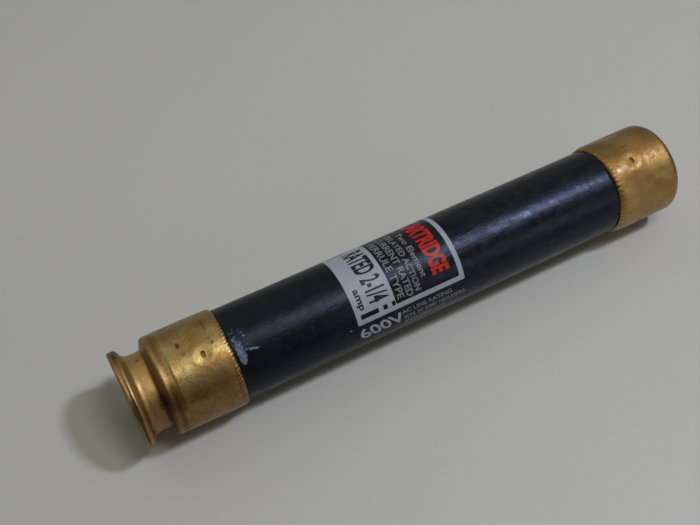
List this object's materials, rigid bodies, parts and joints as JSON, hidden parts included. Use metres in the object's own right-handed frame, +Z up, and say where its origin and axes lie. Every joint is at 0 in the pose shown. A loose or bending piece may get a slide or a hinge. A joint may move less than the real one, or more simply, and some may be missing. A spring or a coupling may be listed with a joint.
{
  "type": "cartridge fuse",
  "caption": "Cylindrical cartridge fuse: black tube with a plain metal ferrule at one end, a grooved rejection ferrule at the other, and a sprung overload trigger inside.",
  "frame": {"origin": "middle of the fuse, on its axis", "axes": "+X along the axis towards the plain ferrule, +Z up with the fuse lying on its side"},
  "size_m": [0.127, 0.0206, 0.0206],
  "materials": {
    "tube_fibre": "matte black vulcanised fibre",
    "label_film": "satin black printed film, dusty and scuffed",
    "rejection_brass": "aged satin brass with brown tarnish",
    "plain_brass": "aged satin brass with pinkish tarnish",
    "washer_fibre": "matte grey fibre board",
    "solder": "dull tin-lead solder",
    "quartz_sand": "compacted grains",
    "link_copper": "bright rolled copper ribbon",
    "sleeve_paper": "brown insulating paper",
    "inner_brass": "clean turned brass",
    "ceramic": "unglazed steatite",
    "plunger_copper": "turned copper",
    "spring_steel": "drawn spring wire",
    "resistance_wire": "oxidised resistance wire"
  },
  "bodies": {
    "cartridge": {"fuse_tube": "tube_fibre", "label_wrap": "label_film", "rejection_ferrule": "rejection_brass", "plain_ferrule": "plain_brass", "rejection_end_washer": "washer_fibre", "plain_end_washer": "washer_fibre", "rejection_end_solder": "solder", "plain_end_solder": "solder", "rejection_sand_filler": "quartz_sand", "plain_sand_filler": "quartz_sand", "rejection_barrier_disc": "washer_fibre", "plain_barrier_disc": "washer_fibre", "rejection_fuse_link": "link_copper", "plain_fuse_link": "link_copper", "rejection_link_solder": "solder", "plain_link_solder": "solder", "insulating_sleeve": "sleeve_paper", "trigger_barrel": "inner_brass", "spring_bush": "ceramic", "trigger_spring": "spring_steel", "fusing_alloy": "solder", "heat_absorber": "plunger_copper", "heater_bobbin": "ceramic", "heater_winding": "resistance_wire", "terminal_disc": "inner_brass"},
    "trigger": {"trigger_plunger": "plunger_copper", "spring_collar": "inner_brass"}
  },
  "joints": [
    {"name": "trigger_release", "type": "slide", "parent": "cartridge", "child": "trigger", "axis": [-1, 0, 0], "range_m": [0, 0.006], "deforming": ["trigger_spring"]}
  ]
}
